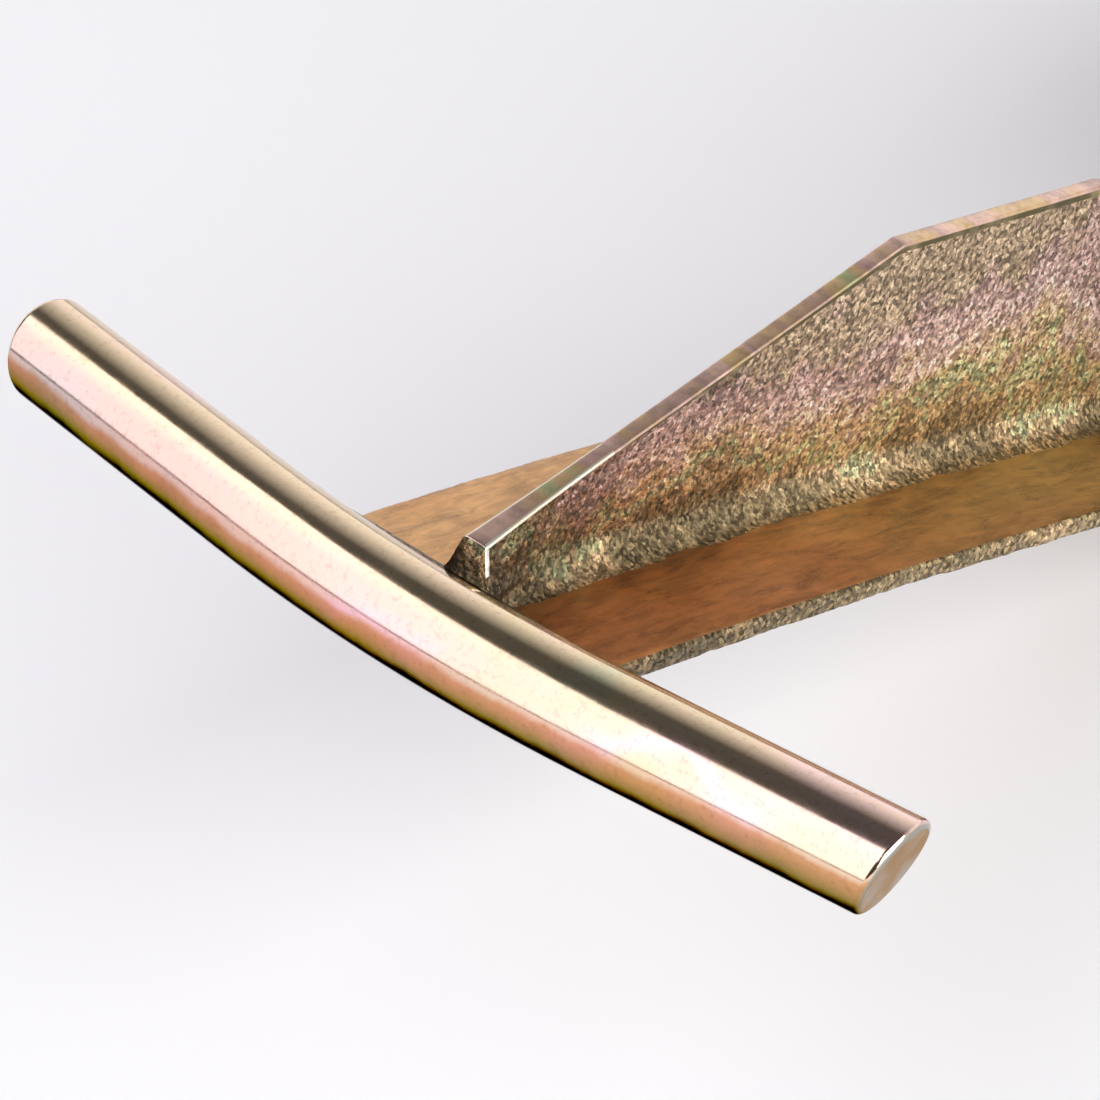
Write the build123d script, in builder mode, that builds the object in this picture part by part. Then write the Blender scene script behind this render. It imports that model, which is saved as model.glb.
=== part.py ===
from build123d import *

import os
from math import cos, degrees, radians, sin, sqrt, tan

# Hand plane forged in steel. Its push handle is a bent round cross bar on a ribbed arm.
# Millimetres. The origin is under the middle of the whole plane, on the sole's face.
# +Y points to the toe, +Z up, and X runs across. The arm slopes down from the bar to the base.

# Driving dimensions
BAR_RADIUS = 6.0
BAR_BEND_RADIUS = 170.0
BAR_SWEEP = 8.8
BAR_LEFT = 64.0
BAR_RIGHT = 61.3
BAR_RIM = 0.7
LEFT_END_SLANT = 9.0
RIGHT_END_SLANT = 14.5
BAR_HEIGHT = 70.0

ARM_SLOPE = 18.8
ARM_WIDTH = 37.6
ARM_THICKNESS = 2.4
ARM_CROWN_Y = 22.0
ARM_CROWN_Z = 0.4
ARM_CROWN_RADIUS = 1397.0
ARM_END = 163.0

RIB_THICKNESS = 2.2
RIB_HEIGHT = 30.3
RIB_NOSE = 7.4
RIB_PEAK = 73.0
RIB_LEVEL_END = 112.0
RIB_ROOT = 4.0
ROOT_END = 152.0
ROOT_SINK = 0.05

SOLE_LENGTH = 151.0
SOLE_WIDTH = 54.0
SOLE_THICKNESS = 7.0
SOLE_CORNER = 6.0
BASE_THICKNESS = 5.0
BAR_TO_HEEL = 145.0
MOUTH_TO_TOE = 58.0
MOUTH_WIDTH = 47.0
CHEEK_THICKNESS = 3.0

BED_ANGLE = 45.0
BED_TOP = 62.0
BED_FOOT_GAP = 0.1
IRON_WIDTH = 44.0
IRON_THICKNESS = 3.2
IRON_TOP = 88.0
EDGE_LIFT = 0.3
BEVEL_ANGLE = 25.0
BREAKER_THICKNESS = 2.0
CAP_GAP = 2.7
CAP_THICKNESS = 4.0
CAP_SCREW_AT = 34.0
PIVOT_AT = 52.0
SPINDLE_DEPTH = 11.0
SPINDLE_RADIUS = 3.0
RUNNING_GAP = 0.05
KNOB_FROM_TOE = 25.0

# Places worked out from them
BAR_Y = -(BAR_TO_HEEL + SOLE_LENGTH - BAR_RADIUS) / 2
HEEL_Y = BAR_Y + BAR_TO_HEEL
TOE_Y = HEEL_Y + SOLE_LENGTH
SOLE_Y = (HEEL_Y + TOE_Y) / 2
MOUTH_Y = TOE_Y - MOUTH_TO_TOE
BASE_TOP = SOLE_THICKNESS + BASE_THICKNESS
GAP_HALF = SOLE_WIDTH / 2 - CHEEK_THICKNESS
KNOB_Y = TOE_Y - KNOB_FROM_TOE
SLOPE_SIN = sin(radians(ARM_SLOPE))
SLOPE_COS = cos(radians(ARM_SLOPE))
BED_SIN = sin(radians(BED_ANGLE))
BED_COS = cos(radians(BED_ANGLE))
IRON_TOP_FACE = BED_FOOT_GAP + IRON_THICKNESS
BREAKER_TOP = IRON_TOP_FACE + BREAKER_THICKNESS
CAP_UNDER = BREAKER_TOP + CAP_GAP
CAP_TOP = CAP_UNDER + CAP_THICKNESS

# Planes: the arm's own frame, its side view, the bed looking down on it, and the bed's side view
BAR_CENTRE = (0, BAR_Y, BAR_HEIGHT)
ARM = Plane(origin=BAR_CENTRE, x_dir=(1, 0, 0), z_dir=(0, SLOPE_SIN, SLOPE_COS))
ARM_SIDE = Plane(origin=BAR_CENTRE, x_dir=(0, SLOPE_COS, -SLOPE_SIN), z_dir=(1, 0, 0))
BED = Plane(origin=(0, MOUTH_Y, 0), x_dir=(-1, 0, 0), z_dir=(0, BED_SIN, BED_COS))
BED_SIDE = Plane(origin=(0, MOUTH_Y, 0), x_dir=(0, -BED_COS, BED_SIN), z_dir=(-1, 0, 0))


def finish(builder, name):
    """Label a finished sub-part and write it as a STEP file."""
    builder.part.label = name
    export_step(builder.part, f"parts/{name}.step")


def arm_top(y):
    """Height of the arm's upper face over the bar's centre, in the arm's frame."""
    return ARM_CROWN_Z - ARM_CROWN_RADIUS + sqrt(ARM_CROWN_RADIUS**2 - (y - ARM_CROWN_Y) ** 2)


def arm_point(y, z):
    """A point of the arm's side view, given in the plane's own Y and Z."""
    return BAR_Y + y * SLOPE_COS + z * SLOPE_SIN, BAR_HEIGHT - y * SLOPE_SIN + z * SLOPE_COS


def bed_across(s):
    """Plane square to the bed's slope at distance s up the bed, with local Y along the bed's normal."""
    origin = BED.from_local_coords((0, s, 0))
    return Plane(origin=origin, x_dir=(1, 0, 0), z_dir=(0, -BED_COS, BED_SIN))


os.makedirs("parts", exist_ok=True)

# Cross bar: one drawn bar, gently bent in the middle, with sheared ends
bend_x = BAR_BEND_RADIUS * sin(radians(BAR_SWEEP))
bend_y = BAR_BEND_RADIUS * (1 - cos(radians(BAR_SWEEP)))
bend_arc = BAR_BEND_RADIUS * radians(BAR_SWEEP)


def bar_end(side, length):
    """Centre of the bar's end and its outward direction, both in the arm's frame."""
    run = length - bend_arc
    along = Vector(side * cos(radians(BAR_SWEEP)), sin(radians(BAR_SWEEP)), 0)
    return Vector(side * bend_x, bend_y, 0) + along * run, along


def end_plane(side, length, slant):
    """Plane of a sheared end, its face tipped down by slant."""
    centre, along = bar_end(side, length)
    normal = along * cos(radians(slant)) - Vector(0, 0, sin(radians(slant)))
    start = ARM.from_local_coords(centre)
    return Plane(origin=start, z_dir=ARM.from_local_coords(centre + normal) - start)


with BuildPart() as cross_bar:
    reach = 8.0
    left_tip, _ = bar_end(-1, BAR_LEFT + reach)
    right_tip, _ = bar_end(1, BAR_RIGHT + reach)
    with BuildLine(ARM) as bar_path:
        Line((left_tip.X, left_tip.Y), (-bend_x, bend_y))
        ThreePointArc((-bend_x, bend_y), (0, 0), (bend_x, bend_y))
        Line((bend_x, bend_y), (right_tip.X, right_tip.Y))
    with BuildSketch(Plane(origin=bar_path.line @ 0, z_dir=bar_path.line % 0)):
        Circle(BAR_RADIUS)
    sweep()
    split(bisect_by=end_plane(-1, BAR_LEFT, LEFT_END_SLANT), keep=Keep.BOTTOM)
    split(bisect_by=end_plane(1, BAR_RIGHT, RIGHT_END_SLANT), keep=Keep.BOTTOM)
    end_faces = faces().filter_by(GeomType.PLANE)
    fillet(end_faces.edges(), BAR_RIM)
finish(cross_bar, "cross_bar")

# Body forging: arm, rib, base and cheeks in one piece
crown_centre = ARM_SIDE.from_local_coords((ARM_CROWN_Y, ARM_CROWN_Z - ARM_CROWN_RADIUS, 0))
root_start = ARM_SIDE.from_local_coords((RIB_NOSE, arm_top(RIB_NOSE) - ROOT_SINK, 0))
CROWN_AXIS = Axis(crown_centre, (1, 0, 0))
ROOT_NORMAL = Vector(1, 0, 0).cross(root_start - crown_centre)
ROOT_START = Plane(origin=root_start, x_dir=(1, 0, 0), z_dir=ROOT_NORMAL)
ROOT_ARC = degrees((ROOT_END - RIB_NOSE) / ARM_CROWN_RADIUS)
arm_slope_end = arm_point(ARM_END, arm_top(ARM_END))
rib_level = arm_point(RIB_LEVEL_END, RIB_HEIGHT)
rib_knee = (rib_level[0] + 21.0, rib_level[1] - 14.5)
rib_foot = (MOUTH_Y - 68.5, BASE_TOP - 1)
cheek_outline = [(-66.5, BASE_TOP - 2), (-66.5, BASE_TOP + 4), (-55, 37), (-31, 45)]
cheek_toe = [(20, BASE_TOP + 3), (27, BASE_TOP - 2)]
bed_screw_spots = [(34.0, -8.0), (56.0, -12.0)]
BED_SCREW_RADIUS = 2.0
BED_SCREW_HEAD = 4.0
SOLE_SCREW_RADIUS = 2.5
SOLE_SCREW_X = 19.5
sole_screw_rows = [HEEL_Y + 12, MOUTH_Y + 22, TOE_Y - 12]
sole_screw_spots = [(side * SOLE_SCREW_X, y) for y in sole_screw_rows for side in (-1, 1)]
STUD_RADIUS = 3.0


def base_outline():
    """Plan outline shared by the base and the sole."""
    with Locations((0, SOLE_Y)):
        RectangleRounded(SOLE_WIDTH, SOLE_LENGTH, SOLE_CORNER)


with BuildPart() as body_forging:
    with BuildSketch(ARM_SIDE):
        with BuildLine():
            near, middle, far = [(y, arm_top(y)) for y in (0, ARM_END / 2, ARM_END)]
            near_low, middle_low, far_low = [(y, z - ARM_THICKNESS) for y, z in (near, middle, far)]
            ThreePointArc(near, middle, far)
            Line(far, far_low)
            ThreePointArc(far_low, middle_low, near_low)
            Line(near_low, near)
        make_face()
    extrude(amount=ARM_WIDTH / 2, both=True)
    with BuildSketch(Plane.YZ):
        with BuildLine():
            nose_foot = arm_point(RIB_NOSE, -1)
            nose_top = arm_point(RIB_NOSE, RIB_NOSE)
            peak = arm_point(RIB_PEAK, RIB_HEIGHT)
            Polyline(nose_foot, nose_top, peak, rib_level)
            ThreePointArc(rib_level, rib_knee, rib_foot)
            Polyline(rib_foot, arm_slope_end, nose_foot)
        make_face()
    extrude(amount=RIB_THICKNESS / 2, both=True)
    with BuildSketch(ROOT_START):
        with BuildLine():
            half = RIB_THICKNESS / 2
            spread = half + RIB_ROOT
            bite = RIB_ROOT * (1 - cos(radians(45)))
            Line((-spread, -1), (spread, -1))
            Line((spread, -1), (spread, 0))
            ThreePointArc((spread, 0), (half + bite, bite), (half, RIB_ROOT))
            Line((half, RIB_ROOT), (-half, RIB_ROOT))
            ThreePointArc((-half, RIB_ROOT), (-half - bite, bite), (-spread, 0))
            Line((-spread, 0), (-spread, -1))
        make_face()
    revolve(axis=CROWN_AXIS, revolution_arc=-ROOT_ARC)
    with BuildSketch(Plane.XY.offset(SOLE_THICKNESS)):
        base_outline()
    extrude(amount=BASE_THICKNESS)
    with BuildSketch(Plane.YZ.offset(GAP_HALF), Plane.YZ.offset(-GAP_HALF - CHEEK_THICKNESS)):
        with BuildLine():
            rise = [(MOUTH_Y + y, z) for y, z in cheek_outline]
            fall = [(MOUTH_Y + y, z) for y, z in cheek_toe]
            Polyline(rise)
            ThreePointArc(rise[-1], (MOUTH_Y - 6, 33.5), fall[0])
            Polyline(fall)
            Line(fall[-1], rise[0])
        make_face()
    extrude(amount=CHEEK_THICKNESS)
    with BuildSketch(Plane.YZ):
        with BuildLine():
            Polyline(
                (MOUTH_Y - SOLE_THICKNESS, SOLE_THICKNESS),
                (MOUTH_Y - BASE_TOP, BASE_TOP),
                (MOUTH_Y + 14, BASE_TOP),
                (MOUTH_Y + 11, SOLE_THICKNESS),
                close=True,
            )
        make_face()
    extrude(amount=MOUTH_WIDTH / 2, both=True, mode=Mode.SUBTRACT)
    with Locations(Plane.XY.offset(BASE_TOP)):
        with Locations(sole_screw_spots):
            Hole(SOLE_SCREW_RADIUS, BASE_THICKNESS)
        with Locations((0, KNOB_Y)):
            Hole(STUD_RADIUS, BASE_THICKNESS)
    for side in (-1, 1):
        for s, n in bed_screw_spots:
            spot = BED_SIDE.from_local_coords((s, n, 0))
            face = Plane(origin=(side * SOLE_WIDTH / 2, spot.Y, spot.Z), z_dir=(side, 0, 0))
            with Locations(face):
                CounterSinkHole(BED_SCREW_RADIUS, BED_SCREW_HEAD, CHEEK_THICKNESS, 90)
    add(cross_bar.part, mode=Mode.SUBTRACT)
finish(body_forging, "body_forging")

# Weld beads between the bar and the arm, over and under the plate
with BuildPart() as cross_bar_weld:
    with BuildSketch(ARM_SIDE):
        with Locations((5.6, arm_top(6) - ARM_THICKNESS / 2)):
            Ellipse(4.6, 4.0)
    extrude(amount=ARM_WIDTH / 2 - 1.0, both=True)
    add(body_forging.part, mode=Mode.SUBTRACT)
    add(cross_bar.part, mode=Mode.SUBTRACT)
finish(cross_bar_weld, "cross_bar_weld")

# Sole plate with the mouth, and the screws that hold it to the base
SOLE_THREAD = 5.0
with BuildPart() as sole_plate:
    with BuildSketch():
        base_outline()
    extrude(amount=SOLE_THICKNESS)
    with BuildSketch(Plane.YZ):
        with BuildLine():
            Polyline(
                (MOUTH_Y, 0),
                (MOUTH_Y - SOLE_THICKNESS, SOLE_THICKNESS),
                (MOUTH_Y + 10, SOLE_THICKNESS),
                (MOUTH_Y + 5.6, 0),
                close=True,
            )
        make_face()
    extrude(amount=MOUTH_WIDTH / 2, both=True, mode=Mode.SUBTRACT)
    with Locations(Plane.XY.offset(SOLE_THICKNESS)):
        with Locations(sole_screw_spots):
            Hole(SOLE_SCREW_RADIUS, SOLE_THREAD)
        with Locations((0, KNOB_Y)):
            Hole(STUD_RADIUS, SOLE_THREAD)
finish(sole_plate, "sole_plate")

SOCKET_HEAD = 4.25
SOCKET_HEAD_HEIGHT = 5.0
SOCKET_RADIUS = 2.3
SOCKET_DEPTH = 2.5
with BuildPart() as sole_screws:
    with BuildSketch(Plane.XY.offset(SOLE_THICKNESS - SOLE_THREAD)):
        with Locations(sole_screw_spots):
            Circle(SOLE_SCREW_RADIUS)
    extrude(amount=SOLE_THREAD + BASE_THICKNESS)
    with BuildSketch(Plane.XY.offset(BASE_TOP)):
        with Locations(sole_screw_spots):
            Circle(SOCKET_HEAD)
    extrude(amount=SOCKET_HEAD_HEIGHT)
    with BuildSketch(Plane.XY.offset(BASE_TOP + SOCKET_HEAD_HEIGHT)):
        with Locations(sole_screw_spots):
            RegularPolygon(SOCKET_RADIUS, 6)
    extrude(amount=-SOCKET_DEPTH, mode=Mode.SUBTRACT)
finish(sole_screws, "sole_screws")

# Bed block: a wedge between the cheeks that carries the iron and its adjuster
BARREL_RADIUS = 6.0
BARREL_DEPTH = 17.0
CHANNEL_HALF = 4.0
CAP_SCREW_RADIUS = 3.4
CAP_SCREW_DEPTH = 12.0
BED_SCREW_LENGTH = 12.0
BLOCK_DEPTH = 24.0
with BuildPart() as bed_block:
    with BuildSketch(Plane.YZ):
        with BuildLine():
            top = (MOUTH_Y - BED_TOP * BED_COS, BED_TOP * BED_SIN)
            back = (top[0] - BLOCK_DEPTH * BED_SIN, top[1] - BLOCK_DEPTH * BED_COS)
            Polyline((MOUTH_Y - BASE_TOP, BASE_TOP), top, back, (back[0], BASE_TOP), close=True)
        make_face()
    extrude(amount=GAP_HALF, both=True)
    with Locations(BED):
        with Locations((0, PIVOT_AT)):
            Hole(BARREL_RADIUS + RUNNING_GAP, BARREL_DEPTH + 0.1)
        with Locations((0, CAP_SCREW_AT)):
            Hole(CAP_SCREW_RADIUS, CAP_SCREW_DEPTH)
    with BuildSketch(BED.offset(1)):
        with Locations((0, 51)):
            Rectangle(2 * CHANNEL_HALF, 26)
    extrude(amount=-17, mode=Mode.SUBTRACT)
    for side in (-1, 1):
        for s, n in bed_screw_spots:
            spot = BED_SIDE.from_local_coords((s, n, 0))
            face = Plane(origin=(side * GAP_HALF, spot.Y, spot.Z), z_dir=(side, 0, 0))
            with Locations(face):
                Hole(BED_SCREW_RADIUS, BED_SCREW_LENGTH)
finish(bed_block, "bed_block")

with BuildPart() as bed_screws:
    for side in (-1, 1):
        for s, n in bed_screw_spots:
            spot = BED_SIDE.from_local_coords((s, n, 0))
            head = Plane(origin=(side * SOLE_WIDTH / 2, spot.Y, spot.Z), z_dir=(-side, 0, 0))
            with BuildSketch(head):
                Circle(BED_SCREW_RADIUS)
            extrude(amount=CHEEK_THICKNESS + BED_SCREW_LENGTH)
            with BuildSketch(head):
                Circle(BED_SCREW_HEAD)
            extrude(amount=BED_SCREW_HEAD - BED_SCREW_RADIUS, taper=45)
            with BuildSketch(head):
                Rectangle(1.0, 9.0)
            extrude(amount=1.0, mode=Mode.SUBTRACT)
finish(bed_screws, "bed_screws")

# Adjuster: the barrel swivels in the bed, and the spindle screws through it
with BuildPart() as pivot_barrel:
    with BuildSketch(BED.offset(-0.4)):
        with Locations((0, PIVOT_AT)):
            Circle(BARREL_RADIUS)
    extrude(amount=-(BARREL_DEPTH - 0.4))
    with BuildSketch(bed_across(PIVOT_AT - 10)):
        with Locations((0, -SPINDLE_DEPTH)):
            Circle(SPINDLE_RADIUS + RUNNING_GAP)
    extrude(amount=20, mode=Mode.SUBTRACT)
finish(pivot_barrel, "pivot_barrel")

SPINDLE_FOOT = 40.0
SPINDLE_TIP = 103.0
CARRIAGE_FROM = 69.0
CARRIAGE_LENGTH = 8.0
PEG_RADIUS = 3.9
COLLAR_LENGTH = 0.9
CLIP_FROM = CARRIAGE_FROM + CARRIAGE_LENGTH + 0.15
CLIP_THICKNESS = 0.7
GROOVE_RADIUS = 2.4
KNOB_FROM = 90.0
KNOB_LENGTH = 12.0
HUB_LENGTH = 4.0
HUB_RADIUS = 6.0
COLLAR_RADIUS = 4.5
CLIP_RADIUS = 5.0


def spindle_disc(start, radius, inner=0.0):
    """Round section on the spindle's axis at a distance up the bed, with an optional hole."""
    with BuildSketch(bed_across(start)) as disc:
        with Locations((0, -SPINDLE_DEPTH)):
            Circle(radius)
            if inner:
                Circle(inner, mode=Mode.SUBTRACT)
    return disc.sketch


with BuildPart() as adjuster_spindle:
    extrude(spindle_disc(SPINDLE_FOOT, SPINDLE_RADIUS), amount=SPINDLE_TIP - SPINDLE_FOOT)
    collar = spindle_disc(CARRIAGE_FROM - COLLAR_LENGTH - 0.1, COLLAR_RADIUS)
    extrude(collar, amount=COLLAR_LENGTH)
    groove = spindle_disc(CLIP_FROM, SPINDLE_RADIUS + 1, GROOVE_RADIUS)
    extrude(groove, amount=CLIP_THICKNESS, mode=Mode.SUBTRACT)
finish(adjuster_spindle, "adjuster_spindle")

with BuildPart() as spindle_clip:
    extrude(spindle_disc(CLIP_FROM, CLIP_RADIUS, GROOVE_RADIUS), amount=CLIP_THICKNESS)
    with BuildSketch(bed_across(CLIP_FROM)):
        with Locations((0, -SPINDLE_DEPTH - 4)):
            Rectangle(3.4, 5)
    extrude(amount=CLIP_THICKNESS, mode=Mode.SUBTRACT)
finish(spindle_clip, "spindle_clip")

with BuildPart() as carriage:
    with BuildSketch(bed_across(CARRIAGE_FROM)):
        with Locations((0, BED_FOOT_GAP - 8)):
            RectangleRounded(11, 16, 2)
    extrude(amount=CARRIAGE_LENGTH)
    with BuildSketch(BED.offset(BED_FOOT_GAP)):
        with Locations((0, CARRIAGE_FROM + CARRIAGE_LENGTH / 2)):
            Circle(PEG_RADIUS)
    extrude(amount=BREAKER_TOP - BED_FOOT_GAP)
    carriage_bore = spindle_disc(CARRIAGE_FROM, SPINDLE_RADIUS + RUNNING_GAP)
    extrude(carriage_bore, amount=CARRIAGE_LENGTH, mode=Mode.SUBTRACT)
finish(carriage, "carriage")

KNOB_RADIUS = 9.0
SET_SCREW_RADIUS = 1.25
SET_SCREW_OUT = 6.5
SET_SCREW_SUNK = 0.7
with BuildPart() as adjuster_knob:
    extrude(spindle_disc(KNOB_FROM - HUB_LENGTH, HUB_RADIUS), amount=HUB_LENGTH)
    extrude(spindle_disc(KNOB_FROM, KNOB_RADIUS), amount=KNOB_LENGTH)
    chamfer(faces().sort_by(Axis.Z)[-1].edges().sort_by(SortBy.LENGTH)[-1], 0.8)
    with BuildSketch(bed_across(KNOB_FROM + 1.5)):
        with Locations((0, -SPINDLE_DEPTH)):
            with PolarLocations(KNOB_RADIUS + 0.2, 30, start_angle=4):
                Rectangle(1.0, 0.9)
    extrude(amount=KNOB_LENGTH - 3, mode=Mode.SUBTRACT)
    knob_bore = spindle_disc(KNOB_FROM - HUB_LENGTH, SPINDLE_RADIUS)
    extrude(knob_bore, amount=HUB_LENGTH + KNOB_LENGTH, mode=Mode.SUBTRACT)
    hub_middle = BED_SIDE.from_local_coords((KNOB_FROM - HUB_LENGTH / 2, -SPINDLE_DEPTH, 0))
    hub_side = Plane(origin=(SET_SCREW_OUT, hub_middle.Y, hub_middle.Z), z_dir=(1, 0, 0))
    with BuildSketch(hub_side):
        Circle(SET_SCREW_RADIUS)
    extrude(amount=-4.2, mode=Mode.SUBTRACT)
finish(adjuster_knob, "adjuster_knob")

with BuildPart() as knob_set_screw:
    with BuildSketch(hub_side.offset(-SET_SCREW_SUNK)):
        Circle(SET_SCREW_RADIUS)
    extrude(amount=-(SET_SCREW_OUT - SET_SCREW_SUNK - SPINDLE_RADIUS))
    with BuildSketch(hub_side.offset(-SET_SCREW_SUNK)):
        RegularPolygon(0.7, 6)
    extrude(amount=-1.0, mode=Mode.SUBTRACT)
finish(knob_set_screw, "knob_set_screw")

# Iron with its chip breaker. The flat back faces forward and the bevel faces the bed
BREAKER_SCREW_AT = 56.0
BREAKER_SCREW_RADIUS = 3.0
SLOT_AT = 37.0
SLOT_LENGTH = 22.0
SLOT_WIDTH = 11.0
edge_s = EDGE_LIFT / BED_SIN - IRON_TOP_FACE
with BuildPart() as iron:
    with BuildSketch(BED_SIDE):
        with BuildLine():
            bevel = edge_s + IRON_THICKNESS / tan(radians(BEVEL_ANGLE))
            Polyline(
                (edge_s, IRON_TOP_FACE),
                (bevel, BED_FOOT_GAP),
                (IRON_TOP, BED_FOOT_GAP),
                (IRON_TOP, IRON_TOP_FACE),
                close=True,
            )
        make_face()
    extrude(amount=IRON_WIDTH / 2, both=True)
    with Locations(BED.offset(IRON_TOP_FACE)):
        with Locations((0, CARRIAGE_FROM + CARRIAGE_LENGTH / 2)):
            Hole(PEG_RADIUS, IRON_THICKNESS)
        with Locations((0, BREAKER_SCREW_AT)):
            Hole(BREAKER_SCREW_RADIUS, IRON_THICKNESS)
    with BuildSketch(BED.offset(BED_FOOT_GAP)):
        with Locations((0, SLOT_AT)):
            SlotOverall(SLOT_LENGTH, SLOT_WIDTH, rotation=90)
    extrude(amount=IRON_THICKNESS, mode=Mode.SUBTRACT)
finish(iron, "iron")

BREAKER_TIP = 1.2
BREAKER_HUMP = 16.0
BREAKER_END = 84.0
with BuildPart() as chip_breaker:
    with BuildSketch(BED_SIDE):
        with BuildLine():
            tip = (BREAKER_TIP, IRON_TOP_FACE)
            hump_under = (BREAKER_HUMP, IRON_TOP_FACE)
            hump_over = (BREAKER_HUMP, BREAKER_TOP)
            ThreePointArc(tip, (8, 4.6), hump_under)
            Polyline(hump_under, (BREAKER_END, IRON_TOP_FACE), (BREAKER_END, BREAKER_TOP), hump_over)
            ThreePointArc(hump_over, (8, 6.8), tip)
        make_face()
    extrude(amount=IRON_WIDTH / 2 - 0.2, both=True)
    with Locations(BED.offset(BREAKER_TOP)):
        with Locations((0, CARRIAGE_FROM + CARRIAGE_LENGTH / 2)):
            Hole(PEG_RADIUS, BREAKER_THICKNESS)
        with Locations((0, BREAKER_SCREW_AT)):
            Hole(BREAKER_SCREW_RADIUS, BREAKER_THICKNESS)
    with BuildSketch(BED.offset(IRON_TOP_FACE - 1)):
        with Locations((0, SLOT_AT)):
            SlotOverall(SLOT_LENGTH, SLOT_WIDTH, rotation=90)
    extrude(amount=BREAKER_THICKNESS + 2, mode=Mode.SUBTRACT)
finish(chip_breaker, "chip_breaker")

BREAKER_SCREW_HEAD = 1.4
with BuildPart() as chip_breaker_screw:
    with BuildSketch(BED.offset(BED_FOOT_GAP)):
        with Locations((0, BREAKER_SCREW_AT)):
            Circle(BREAKER_SCREW_RADIUS)
    extrude(amount=BREAKER_TOP - BED_FOOT_GAP)
    with BuildSketch(BED.offset(BREAKER_TOP)):
        with Locations((0, BREAKER_SCREW_AT)):
            Circle(5.0)
    extrude(amount=BREAKER_SCREW_HEAD)
    with BuildSketch(BED.offset(BREAKER_TOP + BREAKER_SCREW_HEAD)):
        with Locations((0, BREAKER_SCREW_AT)):
            Rectangle(11, 1.2)
    extrude(amount=-0.8, mode=Mode.SUBTRACT)
finish(chip_breaker_screw, "chip_breaker_screw")

# Lever cap with its screw, leaf spring and cam lever
CAM_AT = 79.0
CAM_HEIGHT = CAP_UNDER + 4.5
CAM_RADIUS = 4.2
PIN_RADIUS = 2.0
LEVER_HALF = 7.5
EAR_INNER = 7.9
EAR_OUTER = 11.0
SPRING_SCREW_AT = 66.0
SPRING_THICKNESS = 0.8
SPRING_SCREW_RADIUS = 1.5
CAP_HALF = 22.0
CAP_END = 84.0
cap_side = [(9, 8.4), (9, BREAKER_TOP + 1.9), (12, BREAKER_TOP + 1.9), (16, CAP_UNDER)]
cap_side += [(CAP_END, CAP_UNDER), (CAP_END, CAP_TOP), (20, CAP_TOP)]
cap_half_plan = [(CAP_HALF, 5), (CAP_HALF, 26), (15, 60), (13, CAP_END + 2)]
with BuildPart() as lever_cap:
    with BuildSketch(BED_SIDE):
        with BuildLine():
            Polyline(cap_side)
            ThreePointArc(cap_side[-1], (13.5, 11.0), cap_side[0])
        make_face()
    extrude(amount=CAP_HALF, both=True)
    with BuildSketch(BED.offset(5)):
        with BuildLine():
            Polyline([(-x, s) for x, s in cap_half_plan] + cap_half_plan[::-1], close=True)
        make_face()
    extrude(amount=12, mode=Mode.INTERSECT)
    with BuildSketch(BED_SIDE):
        with Locations((CAM_AT, CAM_HEIGHT)):
            Circle(4.0)
        with Locations((CAM_AT, CAP_TOP - 1)):
            Rectangle(8, 5)
    extrude(amount=EAR_OUTER, both=True)
    with BuildSketch(BED.offset(5)):
        with Locations((0, 80.2)):
            Rectangle(2 * EAR_INNER, 14)
        with Locations((0, 47)):
            Circle(7.0)
        with Locations((0, 40)):
            SlotOverall(20, 7.2, rotation=90)
    extrude(amount=14, mode=Mode.SUBTRACT)
    with BuildSketch(BED_SIDE):
        with Locations((CAM_AT, CAM_HEIGHT)):
            Circle(PIN_RADIUS + RUNNING_GAP)
    extrude(amount=EAR_OUTER + 1, both=True, mode=Mode.SUBTRACT)
    with Locations(BED.offset(CAP_TOP)):
        with Locations((0, SPRING_SCREW_AT)):
            Hole(SPRING_SCREW_RADIUS, CAP_THICKNESS)
finish(lever_cap, "lever_cap")

CAP_SCREW_HEAD = 3.2
with BuildPart() as lever_cap_screw:
    with BuildSketch(BED.offset(-CAP_SCREW_DEPTH)):
        with Locations((0, CAP_SCREW_AT)):
            Circle(CAP_SCREW_RADIUS)
    extrude(amount=CAP_TOP + CAP_SCREW_DEPTH)
    with BuildSketch(BED.offset(CAP_TOP)):
        with Locations((0, CAP_SCREW_AT)):
            Circle(6.0)
    extrude(amount=CAP_SCREW_HEAD)
    with BuildSketch(BED.offset(CAP_TOP + CAP_SCREW_HEAD)):
        with Locations((0, CAP_SCREW_AT)):
            Rectangle(13, 1.4)
    extrude(amount=-1.4, mode=Mode.SUBTRACT)
finish(lever_cap_screw, "lever_cap_screw")

with BuildPart() as cap_leaf_spring:
    with BuildSketch(BED.offset(CAP_UNDER - SPRING_THICKNESS)):
        with Locations((0, 72)):
            RectangleRounded(12, 22, 2)
        with Locations((0, SPRING_SCREW_AT)):
            Circle(SPRING_SCREW_RADIUS, mode=Mode.SUBTRACT)
    extrude(amount=SPRING_THICKNESS)
finish(cap_leaf_spring, "cap_leaf_spring")

SPRING_SCREW_HEAD = 0.8
with BuildPart() as cap_spring_screw:
    with BuildSketch(BED.offset(CAP_UNDER - SPRING_THICKNESS - SPRING_SCREW_HEAD)):
        with Locations((0, SPRING_SCREW_AT)):
            Circle(2.6)
    extrude(amount=SPRING_SCREW_HEAD)
    with BuildSketch(BED.offset(CAP_UNDER - SPRING_THICKNESS)):
        with Locations((0, SPRING_SCREW_AT)):
            Circle(SPRING_SCREW_RADIUS)
    extrude(amount=SPRING_THICKNESS + CAP_THICKNESS - 0.5)
finish(cap_spring_screw, "cap_spring_screw")

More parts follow.
